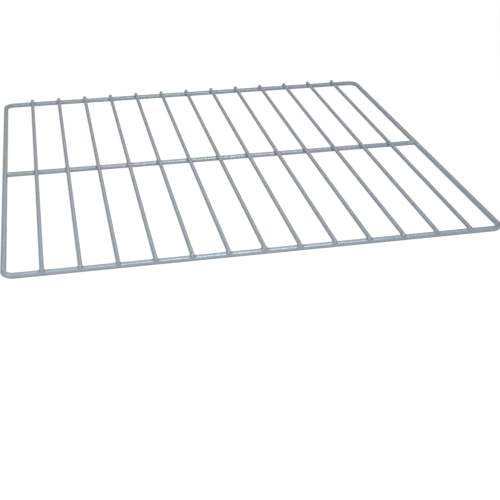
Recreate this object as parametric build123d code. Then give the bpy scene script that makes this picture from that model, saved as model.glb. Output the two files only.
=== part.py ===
from build123d import *
import os

# Plastic-coated wire grid that lies on the load of a dishwasher rack and holds light pieces down.
#
# One bent wire makes the square frame. A cross bar is welded between its two sides, on the same level.
# Thin straight wires lie across the front of the frame, the cross bar and the back of the frame. The welds sink
# them a little into each, so a thin wire is cut to the round of every bar that it seats on, and the cross bar to
# the round of the frame's sides. The coating thickens every wire and eases the cut tips.
#
# +X runs to the right along the cross bar, +Y to the back along the thin wires and +Z up.
# The origin is on the surface that the grid lies on, under its middle.

# Driving dimensions, in millimetres, with every diameter measured over the coating
GRID_WIDTH = 450.0          # outside of the frame, left to right
GRID_DEPTH = 450.0          # outside of the frame, front to back
FRAME_DIAMETER = 5.2        # bent frame wire
CROSS_BAR_DIAMETER = 5.0    # bar between the frame's sides
WIRE_DIAMETER = 4.0         # thin wires
CORNER_RADIUS = 9.0         # frame bend, on the wire's centreline
WIRE_COUNT = 13             # thin wires, at equal steps between the frame's sides
WELD_SET_DOWN = 1.0         # depth that a thin wire sinks into the frame wire
TIP_BEVEL = 0.8             # easing of a thin wire's coated tips

# Sizes worked out from them
SPAN_X = GRID_WIDTH - FRAME_DIAMETER        # between the centrelines of the frame's sides
SPAN_Y = GRID_DEPTH - FRAME_DIAMETER        # between the centrelines of its front and back
FRAME_LEVEL = FRAME_DIAMETER / 2            # height of the frame's and the cross bar's centreline
WIRE_LEVEL = FRAME_DIAMETER - WELD_SET_DOWN + WIRE_DIAMETER / 2
WIRE_PITCH = SPAN_X / (WIRE_COUNT + 1)
WIRE_LENGTH = GRID_DEPTH                    # the tips end flush with the frame's outer edge
SEAT_LENGTH = 2 * max(CROSS_BAR_DIAMETER, WIRE_DIAMETER)    # stretch of a carrying rod that cuts one seat


def rod_x(diameter, length, x, y, z):
    """Straight round rod along X, centred on a point."""
    return Pos(x, y, z) * Rot(0, 90, 0) * Cylinder(diameter / 2, length)


def rod_y(diameter, length, x, y, z):
    """Straight round rod along Y, centred on a point."""
    return Pos(x, y, z) * Rot(90, 0, 0) * Cylinder(diameter / 2, length)


def perimeter_frame():
    """Frame wire with a round bend at each corner, closed on itself."""
    straight_x = SPAN_X - 2 * CORNER_RADIUS
    straight_y = SPAN_Y - 2 * CORNER_RADIUS
    front, back = [rod_x(FRAME_DIAMETER, straight_x, 0, side * SPAN_Y / 2, FRAME_LEVEL) for side in (-1, 1)]
    left, right = [rod_y(FRAME_DIAMETER, straight_y, side * SPAN_X / 2, 0, FRAME_LEVEL) for side in (-1, 1)]
    bend = revolve(Plane.XZ * Pos(CORNER_RADIUS, 0) * Circle(FRAME_DIAMETER / 2), Axis.Z, 90)
    corners = [(1, 1, 0), (-1, 1, 90), (-1, -1, 180), (1, -1, 270)]
    bends = [
        Pos(x * straight_x / 2, y * straight_y / 2, FRAME_LEVEL) * Rot(0, 0, turn) * bend
        for x, y, turn in corners
    ]
    return front + [right, back, left] + bends


def cross_bar():
    """Bar across the middle, butted against the round of the frame's two sides."""
    bar = rod_x(CROSS_BAR_DIAMETER, SPAN_X, 0, 0, FRAME_LEVEL)
    for side in (-1, 1):
        bar -= rod_y(FRAME_DIAMETER, SEAT_LENGTH, side * SPAN_X / 2, 0, FRAME_LEVEL)
    return bar


def thin_wire():
    """Thin wire at the middle, seated on the front of the frame, the cross bar and the back of the frame."""
    wire = rod_y(WIRE_DIAMETER, WIRE_LENGTH, 0, 0, WIRE_LEVEL)
    wire = chamfer(wire.edges().filter_by(GeomType.CIRCLE), TIP_BEVEL)
    for diameter, y in ((FRAME_DIAMETER, -SPAN_Y / 2), (CROSS_BAR_DIAMETER, 0), (FRAME_DIAMETER, SPAN_Y / 2)):
        wire -= rod_x(diameter, SEAT_LENGTH, 0, y, FRAME_LEVEL)
    return wire


def grid():
    """Every piece of the grid by name."""
    pieces = {"perimeter_frame": perimeter_frame(), "cross_bar": cross_bar()}
    wire = thin_wire()
    for number in range(1, WIRE_COUNT + 1):
        pieces[f"wire_{number:02d}"] = Pos(number * WIRE_PITCH - SPAN_X / 2, 0, 0) * wire
    return pieces


os.makedirs("parts", exist_ok=True)
for name, piece in grid().items():
    export_step(piece, f"parts/{name}.step")
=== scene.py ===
import math
from collections import namedtuple

import bpy
import numpy as np
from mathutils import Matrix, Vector


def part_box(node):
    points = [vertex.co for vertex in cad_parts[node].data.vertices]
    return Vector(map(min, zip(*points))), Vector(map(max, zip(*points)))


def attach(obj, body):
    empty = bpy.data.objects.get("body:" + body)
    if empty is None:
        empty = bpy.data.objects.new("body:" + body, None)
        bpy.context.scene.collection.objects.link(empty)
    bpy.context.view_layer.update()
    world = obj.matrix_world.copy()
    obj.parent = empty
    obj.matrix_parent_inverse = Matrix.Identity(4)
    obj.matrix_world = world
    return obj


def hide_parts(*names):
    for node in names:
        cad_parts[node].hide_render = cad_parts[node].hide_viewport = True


# Plastic-coated wire grid that holds light pieces down in a dishwasher rack, lying on a white floor.
#
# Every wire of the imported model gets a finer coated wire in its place. The coating is a little uneven,
# rounds the cut tips and gathers in a fillet wherever two wires are welded. All lengths are in metres.

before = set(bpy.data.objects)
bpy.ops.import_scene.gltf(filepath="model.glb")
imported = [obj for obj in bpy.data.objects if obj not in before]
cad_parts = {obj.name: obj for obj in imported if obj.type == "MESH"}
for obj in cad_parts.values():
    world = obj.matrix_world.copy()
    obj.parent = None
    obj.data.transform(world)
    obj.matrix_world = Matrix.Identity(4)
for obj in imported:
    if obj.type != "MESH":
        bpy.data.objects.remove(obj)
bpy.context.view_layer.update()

# Sizes of the solids
FRAME_LOW, FRAME_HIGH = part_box("perimeter_frame")
FRAME_RADIUS = (FRAME_HIGH.z - FRAME_LOW.z) / 2
FRAME_LEVEL = FRAME_LOW.z + FRAME_RADIUS    # height of the frame's and the cross bar's centreline
HALF_X = FRAME_HIGH.x - FRAME_RADIUS        # from the middle to the centreline of the frame's sides
HALF_Y = FRAME_HIGH.y - FRAME_RADIUS        # from the middle to the centreline of its front and back
BAR_LOW, BAR_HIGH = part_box("cross_bar")
BAR_RADIUS = (BAR_HIGH.z - BAR_LOW.z) / 2
WIRE_NODES = sorted(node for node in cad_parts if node.startswith("wire_"))
WIRE_LOW, WIRE_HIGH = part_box(WIRE_NODES[0])
WIRE_RADIUS = (WIRE_HIGH.x - WIRE_LOW.x) / 2
WIRE_LEVEL = WIRE_HIGH.z - WIRE_RADIUS
WIRE_END = WIRE_HIGH.y
CORNER_RADIUS = 0.009           # frame bend, on the wire's centreline

# The coating's shape
TIP_FILLET = 0.0010             # coating gathered beside the welds at a thin wire's tips
TOE_FILLET = 0.0025             # the same under a tip's end face
MIDDLE_FILLET = 0.0010          # the same on the cross bar, and at the bar's ends
FILLET_SPREAD = 0.0002          # most that one weld's fillet differs from another's
RUN_WIRE = "wire_07"            # its front weld holds a thick run of coating
RUN_FILLET = 0.0025
TIP_ROUND = 0.0013              # rounding of a thin wire's tips
SINK = 0.0001                   # depth that a seat lies under the skin of the rod that carries it
WAVE_HEIGHT = 0.00005           # unevenness of the coating
WAVE_LENGTHS = (0.071, 0.043, 0.023)

# The coating's finish
COATING_IOR = 1.5
MOTTLE_SCALE = 60.0             # noise cells to a metre
MOTTLE_DETAIL = 2.0
MOTTLE_LOW = 0.3                # noise where the coating is darkest and smoothest
MOTTLE_HIGH = 0.7               # noise where it is lightest and roughest
DARKEST = (0.163, 0.183, 0.206)
LIGHTEST = (0.180, 0.202, 0.228)
SMOOTHEST = 0.31
ROUGHEST = 0.35
PEEL_SCALE = 300.0              # noise cells to a metre
PEEL_DETAIL = 0.0
PEEL_STRENGTH = 0.03
PEEL_DEPTH = 0.0002

# Seeds of the random draws. A wire's number is added to the last two.
FRAME_SEED = 1
BAR_SEED = 2
WIRE_WAVE_SEED = 10
WIRE_FILLET_SEED = 100

# Fineness of the meshes
SEGMENTS = 32                   # points round a wire
SECTION_POINTS = 256            # points round it while its section is worked out
COARSE_STEP = 0.006             # between rings on a free stretch
FINE_STEP = 0.0002              # between rings at a weld
WELD_REACH = 0.0056             # half length of the fine stretch
TIP_RINGS = 12
CORNER_RINGS = 20
END_RINGS = 12                  # rings of the cross bar in the fillet at each end
FILLET_REACH = 1.8              # how far the search for a fillet goes, in fillet radii
FILLET_STEPS = 36
HALVINGS = 8                    # halvings of the last step of that search
FOLD_ANGLE = math.radians(60)   # a sharper edge, such as a fillet's foot, isn't shaded smooth
LEAST_LENGTH = 1e-9             # stands for a length of zero where one divides

# The floor and the room
WHITE = (1.0, 1.0, 1.0)
FLOOR_HALF = 30.0               # from the middle of the floor to its edges
FLOOR_COLOUR = (0.05, 0.05, 0.05)
FLOOR_GLOW = 0.97
ROOM_HORIZON = 0.97             # brightness of the room beyond the floor
ROOM_ABOVE = 0.09               # its brightness further up
HORIZON_TOP = 0.00              # height on the unit sphere where the white horizon starts to fade
HORIZON_END = 0.22              # height where it has faded

# The lights
COOL_WHITE = (0.94, 0.975, 1.0)
OPEN_SPREAD = 180.0             # degrees that a bare softbox shines over
GRID_SPREAD = 70.0              # degrees with a grid in front of it
LIGHTS = {
    "front_softbox": {
        "place": (0.19, -0.99, 0.92),
        "aim": (-0.065, -0.02, 0.0),
        "size": (0.32, 0.4),
        "watts": 3.0,
        "colour": COOL_WHITE,
        "spread": GRID_SPREAD,
    },
    "overhead": {"place": (-0.1, 0.3, 1.25), "aim": (0.0, 0.3, 0.0), "size": (1.8, 1.8), "watts": 11.6},
    "back_softbox": {"place": (0.1, 1.3, 0.7), "aim": (0.0, 0.0, 0.0), "size": (1.2, 0.6), "watts": 3.6},
    "left_fill": {"place": (-0.6, -0.7, 0.5), "aim": (-0.2, -0.2, 0.0), "size": (0.5, 0.5), "watts": 4.4},
}

# The camera, in the frame of the grid
CAMERA_PLACE = (-0.1723, -0.9662, 0.3945)
CAMERA_AIM = (-0.0119, -0.2178, 0.0026)
CAMERA_LENS = 70.85             # millimetres
SENSOR_WIDTH = 36.0             # millimetres

# Columns of a point
X, Y, Z = range(3)

# The rods that carry others: the axis they run along, their place beside it, their level and radius
Rod = namedtuple("Rod", "along beside level radius")
FRONT_ROD = Rod(X, -HALF_Y, FRAME_LEVEL, FRAME_RADIUS)
MIDDLE_ROD = Rod(X, 0.0, FRAME_LEVEL, BAR_RADIUS)
BACK_ROD = Rod(X, HALF_Y, FRAME_LEVEL, FRAME_RADIUS)
LEFT_ROD = Rod(Y, -HALF_X, FRAME_LEVEL, FRAME_RADIUS)
RIGHT_ROD = Rod(Y, HALF_X, FRAME_LEVEL, FRAME_RADIUS)

# Directions round a section, from the top
ANGLES = math.pi / 2 + np.arange(SECTION_POINTS) * 2 * math.pi / SECTION_POINTS
UP = np.array((0.0, 0.0, 1.0))


# Geometry of the coated wires

def from_axis(points, rod):
    """Vectors to points from a rod's axis, with nothing along it."""
    sideways = Y if rod.along == X else X
    across = points.copy()
    across[:, rod.along] = 0.0
    across[:, sideways] -= rod.beside
    across[:, Z] -= rod.level
    return across


def gap_to(points, rod):
    """Distance of points from a rod's surface, negative inside it."""
    return np.linalg.norm(from_axis(points, rod), axis=1) - rod.radius


def fillet_growth(points, outward, rod, radius):
    """How far each point moves outward to lie on the coating that rounds into a rod, with its own radius."""
    growth = np.zeros(len(points))
    near = np.flatnonzero(gap_to(points, rod) < radius)
    points = points[near]
    outward = outward[near]
    radius = radius[near]

    def filled(moved):
        gap = gap_to(points + moved[:, None] * outward, rod)
        corner = (moved < radius) & (gap < radius) & (np.hypot(radius - moved, radius - gap) > radius)
        return corner | (gap < 0)

    step = FILLET_REACH * radius / FILLET_STEPS
    inside = np.zeros(len(near))
    open_air = np.zeros(len(near), bool)
    for count in range(1, FILLET_STEPS + 1):
        open_air |= ~filled(count * step)
        inside = np.where(open_air, inside, count * step)
    outside = inside + step * open_air
    for _ in range(HALVINGS):
        middle = (inside + outside) / 2
        still = filled(middle)
        inside = np.where(still, middle, inside)
        outside = np.where(still, outside, middle)
    growth[near] = inside
    return growth


def seated(points, rod):
    """The points, with those deep inside a rod brought back to just under its skin."""
    across = from_axis(points, rod)
    length = np.linalg.norm(across, axis=1)
    seat = rod.radius - SINK
    deep = length < seat
    lift = across[deep] * (seat / np.maximum(length[deep], LEAST_LENGTH) - 1.0)[:, None]
    points = points.copy()
    points[deep] += lift
    return points


def waves(stations, length, seed):
    """Slight dips of the coating's surface along a wire and round it."""
    draw = np.random.default_rng(seed)
    dips = np.zeros((len(stations), SECTION_POINTS))
    for wavelength in WAVE_LENGTHS:
        count = round(length / wavelength)
        phase, turn = draw.uniform(0, 2 * math.pi, 2)
        along = np.sin(2 * math.pi * count * stations / length + phase)
        dips += along[:, None] * np.cos((ANGLES - turn) / 2)[None, :] ** 2
    return WAVE_HEIGHT * (dips / len(WAVE_LENGTHS) - 1.0) / 2


def evened(rings):
    """The same rings with fewer points, evenly spread from the first point of each."""
    result = np.zeros((len(rings), SEGMENTS, 3))
    for number, ring in enumerate(rings):
        loop = np.concatenate((ring, ring[:1]))
        steps = np.linalg.norm(np.diff(loop, axis=0), axis=1)
        places = np.concatenate(([0.0], np.cumsum(steps)))
        wanted = np.arange(SEGMENTS) * places[-1] / SEGMENTS
        for axis in (X, Y, Z):
            result[number, :, axis] = np.interp(wanted, places, loop[:, axis])
    return result


def tube(name, rings, closed):
    """Mesh object from rings of points, joined end to end or closed with a face at each end.

    The points of a ring run clockwise as seen along the tube, so that the faces look outward.
    """
    count = len(rings)
    faces = []
    for ring in range(count if closed else count - 1):
        here = ring * SEGMENTS
        there = (ring + 1) % count * SEGMENTS
        for spot in range(SEGMENTS):
            beside = (spot + 1) % SEGMENTS
            faces.append((here + spot, here + beside, there + beside, there + spot))
    if not closed:
        faces.append(tuple(reversed(range(SEGMENTS))))
        faces.append(tuple(range((count - 1) * SEGMENTS, count * SEGMENTS)))
    mesh = bpy.data.meshes.new(name)
    mesh.from_pydata(rings.reshape(-1, 3).tolist(), [], faces)
    mesh.shade_smooth()
    mesh.set_sharp_from_angle(angle=FOLD_ANGLE)
    mesh.update()
    piece = bpy.data.objects.new(name, mesh)
    bpy.context.scene.collection.objects.link(piece)
    return piece


def stand_for(piece, node, material):
    """The piece takes the place of a node and rides with the grid."""
    piece.data.materials.append(material)
    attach(piece, "root")
    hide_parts(node)


def frame_path():
    """Points on the frame's centreline with the direction to its outer side, once round."""
    centres = []
    sides = []
    straight_x = HALF_X - CORNER_RADIUS
    straight_y = HALF_Y - CORNER_RADIUS
    # Signs of each corner's place, and the heading of its outer side in degrees where the bend starts
    corners = ((1, 1, 0), (-1, 1, 90), (-1, -1, 180), (1, -1, 270))
    for x, y, turn in corners:
        bend = np.array((x * straight_x, y * straight_y, FRAME_LEVEL))
        for angle in np.radians(np.linspace(turn, turn + 90, CORNER_RINGS)):
            side = np.array((math.cos(angle), math.sin(angle), 0.0))
            centres.append(bend + CORNER_RADIUS * side)
            sides.append(side)
        run = 2 * (straight_x if turn % 180 == 0 else straight_y)
        start = centres[-1]
        side = sides[-1]
        ahead = np.array((-side[Y], side[X], 0.0))
        between = round(run / COARSE_STEP)
        for step in range(1, between):
            centres.append(start + ahead * run * step / between)
            sides.append(side)
    return np.array(centres), np.array(sides)


def coated_frame():
    """The bent frame wire."""
    centres, sides = frame_path()
    steps = np.linalg.norm(np.diff(centres, axis=0, append=centres[:1]), axis=1)
    stations = np.concatenate(([0.0], np.cumsum(steps)[:-1]))
    radii = FRAME_RADIUS + waves(stations, steps.sum(), FRAME_SEED)
    across = np.cos(ANGLES)[None, :, None] * sides[:, None, :] + np.sin(ANGLES)[None, :, None] * UP
    rings = evened(centres[:, None, :] + radii[:, :, None] * across)
    return tube("coated_frame", rings[:, ::-1], True)


def coated_bar():
    """The cross bar, with its ends rounded into the frame's sides by the coating."""
    outward = np.stack((np.zeros(SECTION_POINTS), np.cos(ANGLES), np.sin(ANGLES)), axis=1)
    butt = np.sqrt(np.maximum((FRAME_RADIUS - SINK) ** 2 - (BAR_RADIUS * np.sin(ANGLES)) ** 2, 0.0))
    end = HALF_X - butt
    turn = np.linspace(0.0, math.pi / 2, END_RINGS)
    near = SINK + MIDDLE_FILLET * (1 - np.cos(turn))
    near = np.concatenate(([0.0], near))
    free_half = HALF_X - FRAME_RADIUS - near[-1] - COARSE_STEP
    free = np.linspace(-free_half, free_half, round(2 * free_half / COARSE_STEP))
    places = [-end + step for step in near]
    places += [np.full(SECTION_POINTS, x) for x in free]
    places += [end - step for step in near[::-1]]
    places = np.array(places)
    radii = BAR_RADIUS + waves(places.mean(axis=1), 2 * HALF_X, BAR_SEED)
    rings = radii[:, :, None] * outward[None]
    rings[:, :, X] = places
    rings[:, :, Z] += FRAME_LEVEL
    points = rings.reshape(-1, 3)
    normals = np.tile(outward, (len(places), 1))
    sideways = np.abs(normals[:, Y])
    fillets = np.full(len(points), MIDDLE_FILLET)
    growth = np.zeros(len(points))
    for rod in (LEFT_ROD, RIGHT_ROD):
        growth = np.maximum(growth, sideways * fillet_growth(points, normals, rod, fillets))
    points = points + growth[:, None] * normals
    return tube("coated_cross_bar", evened(points.reshape(rings.shape)), False)


def wire_profile():
    """Stations along a thin wire with its radius and the slope of its surface there, tips included."""
    tip = np.linspace(0.0, math.pi / 2, TIP_RINGS)
    tip_station = -WIRE_END + TIP_ROUND * (1 - np.cos(tip))
    tip_radius = WIRE_RADIUS - TIP_ROUND + TIP_ROUND * np.sin(tip)
    seat_end = np.arange(tip_station[-1] + FINE_STEP, -HALF_Y + WELD_REACH, FINE_STEP)
    seat_middle = np.arange(-WELD_REACH, 0.0, FINE_STEP)
    free_length = seat_middle[0] - seat_end[-1]
    free = seat_end[-1] + free_length * np.linspace(0, 1, round(free_length / COARSE_STEP))[1:-1]
    half = np.concatenate((tip_station, seat_end, free, seat_middle))
    stations = np.concatenate((half, [0.0], -half[::-1]))
    radii = np.full(len(stations), WIRE_RADIUS)
    slope = np.zeros(len(stations))
    radii[:TIP_RINGS] = tip_radius
    radii[-TIP_RINGS:] = tip_radius[::-1]
    slope[:TIP_RINGS] = -np.cos(tip)
    slope[-TIP_RINGS:] = np.cos(tip)[::-1]
    return stations, radii, slope


def coated_wire(node):
    """A thin wire with rounded tips, seated on its three rods with a fillet of coating round each seat."""
    low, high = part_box(node)
    number = int(node.split("_")[1])
    draw = np.random.default_rng(WIRE_FILLET_SEED + number)
    stations, radii, slope = wire_profile()
    across = np.stack((np.cos(ANGLES), np.zeros(SECTION_POINTS), np.sin(ANGLES)), axis=1)
    steep = np.sqrt(1 - slope ** 2)
    normals = steep[:, None, None] * across[None]
    normals[:, :, Y] = slope[:, None]
    body = radii[:, None] + waves(stations, 2 * WIRE_END, WIRE_WAVE_SEED + number)
    rings = body[:, :, None] * across[None]
    rings[:, :, X] += (low.x + high.x) / 2
    rings[:, :, Y] = stations[:, None]
    rings[:, :, Z] += WIRE_LEVEL
    points = rings.reshape(-1, 3)
    normals = normals.reshape(-1, 3)
    growth = np.zeros(len(points))
    for rod, fillet in ((FRONT_ROD, TIP_FILLET), (MIDDLE_ROD, MIDDLE_FILLET), (BACK_ROD, TIP_FILLET)):
        fillet += draw.uniform(-1, 1) * FILLET_SPREAD
        if node == RUN_WIRE and rod is FRONT_ROD:
            fillet = RUN_FILLET
        fillets = fillet + (TOE_FILLET - fillet) * np.abs(normals[:, Y])
        growth = np.maximum(growth, fillet_growth(points, normals, rod, fillets))
    points = points + growth[:, None] * normals
    for rod in (FRONT_ROD, MIDDLE_ROD, BACK_ROD):
        points = seated(points, rod)
    rings = evened(points.reshape(rings.shape))
    return tube("coated_" + node, rings[:, ::-1], False)


# Finishes

def opaque(colour):
    """The colour as a shader takes it, with nothing see-through."""
    return (*colour, 1.0)


def coating_material():
    """Satin grey dip coating with a faint mottle and a fine orange peel."""
    material = bpy.data.materials.new("grey_coating")
    material.use_nodes = True
    nodes = material.node_tree.nodes
    links = material.node_tree.links
    shader = nodes["Principled BSDF"]
    shader.inputs["IOR"].default_value = COATING_IOR
    place = nodes.new("ShaderNodeTexCoord")

    mottle = nodes.new("ShaderNodeTexNoise")
    mottle.inputs["Scale"].default_value = MOTTLE_SCALE
    mottle.inputs["Detail"].default_value = MOTTLE_DETAIL
    links.new(place.outputs["Object"], mottle.inputs["Vector"])
    tint = nodes.new("ShaderNodeValToRGB")
    dark, light = tint.color_ramp.elements
    dark.position = MOTTLE_LOW
    dark.color = opaque(DARKEST)
    light.position = MOTTLE_HIGH
    light.color = opaque(LIGHTEST)
    links.new(mottle.outputs["Fac"], tint.inputs["Fac"])
    links.new(tint.outputs["Color"], shader.inputs["Base Color"])

    gloss = nodes.new("ShaderNodeMapRange")
    gloss.inputs["From Min"].default_value = MOTTLE_LOW
    gloss.inputs["From Max"].default_value = MOTTLE_HIGH
    gloss.inputs["To Min"].default_value = SMOOTHEST
    gloss.inputs["To Max"].default_value = ROUGHEST
    links.new(mottle.outputs["Fac"], gloss.inputs["Value"])
    links.new(gloss.outputs["Result"], shader.inputs["Roughness"])

    peel = nodes.new("ShaderNodeTexNoise")
    peel.inputs["Scale"].default_value = PEEL_SCALE
    peel.inputs["Detail"].default_value = PEEL_DETAIL
    links.new(place.outputs["Object"], peel.inputs["Vector"])
    bump = nodes.new("ShaderNodeBump")
    bump.inputs["Strength"].default_value = PEEL_STRENGTH
    bump.inputs["Distance"].default_value = PEEL_DEPTH
    links.new(peel.outputs["Fac"], bump.inputs["Height"])
    links.new(bump.outputs["Normal"], shader.inputs["Normal"])
    return material


def floor_material():
    """White floor that glows, so that it stays white beside the grid."""
    material = bpy.data.materials.new("white_floor")
    material.use_nodes = True
    shader = material.node_tree.nodes["Principled BSDF"]
    shader.inputs["Base Color"].default_value = opaque(FLOOR_COLOUR)
    shader.inputs["Roughness"].default_value = 1.0
    shader.inputs["Specular IOR Level"].default_value = 0.0
    shader.inputs["Emission Color"].default_value = opaque(WHITE)
    shader.inputs["Emission Strength"].default_value = FLOOR_GLOW
    return material


# Stage, light and camera

def make_floor():
    """Square floor that the grid lies on."""
    mesh = bpy.data.meshes.new("floor")
    corners = [(x * FLOOR_HALF, y * FLOOR_HALF, 0.0) for x, y in ((-1, -1), (1, -1), (1, 1), (-1, 1))]
    mesh.from_pydata(corners, [], [(0, 1, 2, 3)])
    floor = bpy.data.objects.new("floor", mesh)
    mesh.materials.append(floor_material())
    bpy.context.scene.collection.objects.link(floor)


def make_room():
    """Dim room round a white floor that runs on to the horizon."""
    world = bpy.data.worlds.new("room")
    bpy.context.scene.world = world
    world.use_nodes = True
    nodes = world.node_tree.nodes
    links = world.node_tree.links
    direction = nodes.new("ShaderNodeTexCoord")
    split = nodes.new("ShaderNodeSeparateXYZ")
    links.new(direction.outputs["Generated"], split.inputs["Vector"])
    strength = nodes.new("ShaderNodeMapRange")
    strength.interpolation_type = "SMOOTHSTEP"
    strength.inputs["From Min"].default_value = HORIZON_TOP
    strength.inputs["From Max"].default_value = HORIZON_END
    strength.inputs["To Min"].default_value = ROOM_HORIZON
    strength.inputs["To Max"].default_value = ROOM_ABOVE
    links.new(split.outputs["Z"], strength.inputs["Value"])
    links.new(strength.outputs["Result"], nodes["Background"].inputs["Strength"])
    nodes["Background"].inputs["Color"].default_value = opaque(WHITE)


def point_at(thing, place, aim):
    """Puts a light or camera at a place, looking at a spot."""
    thing.location = place
    thing.rotation_euler = (Vector(aim) - Vector(place)).to_track_quat("-Z", "Y").to_euler()
    bpy.context.scene.collection.objects.link(thing)


def softbox(name, place, aim, size, watts, colour=WHITE, spread=OPEN_SPREAD):
    """Rectangular soft light."""
    lamp = bpy.data.lights.new(name, "AREA")
    lamp.shape = "RECTANGLE"
    lamp.size, lamp.size_y = size
    lamp.energy = watts
    lamp.color = colour
    lamp.spread = math.radians(spread)
    point_at(bpy.data.objects.new(name, lamp), place, aim)


def make_camera():
    """Camera in front of the grid, a little to its left and above it."""
    lens = bpy.data.cameras.new("camera")
    lens.sensor_width = SENSOR_WIDTH
    lens.lens = CAMERA_LENS
    camera = bpy.data.objects.new("camera", lens)
    point_at(camera, CAMERA_PLACE, CAMERA_AIM)
    bpy.context.scene.camera = camera


make_camera()
make_floor()
make_room()
for light_name, light in LIGHTS.items():
    softbox(light_name, **light)
bpy.context.scene.view_settings.view_transform = "Standard"

coating = coating_material()
stand_for(coated_frame(), "perimeter_frame", coating)
stand_for(coated_bar(), "cross_bar", coating)
for wire_node in WIRE_NODES:
    stand_for(coated_wire(wire_node), wire_node, coating)
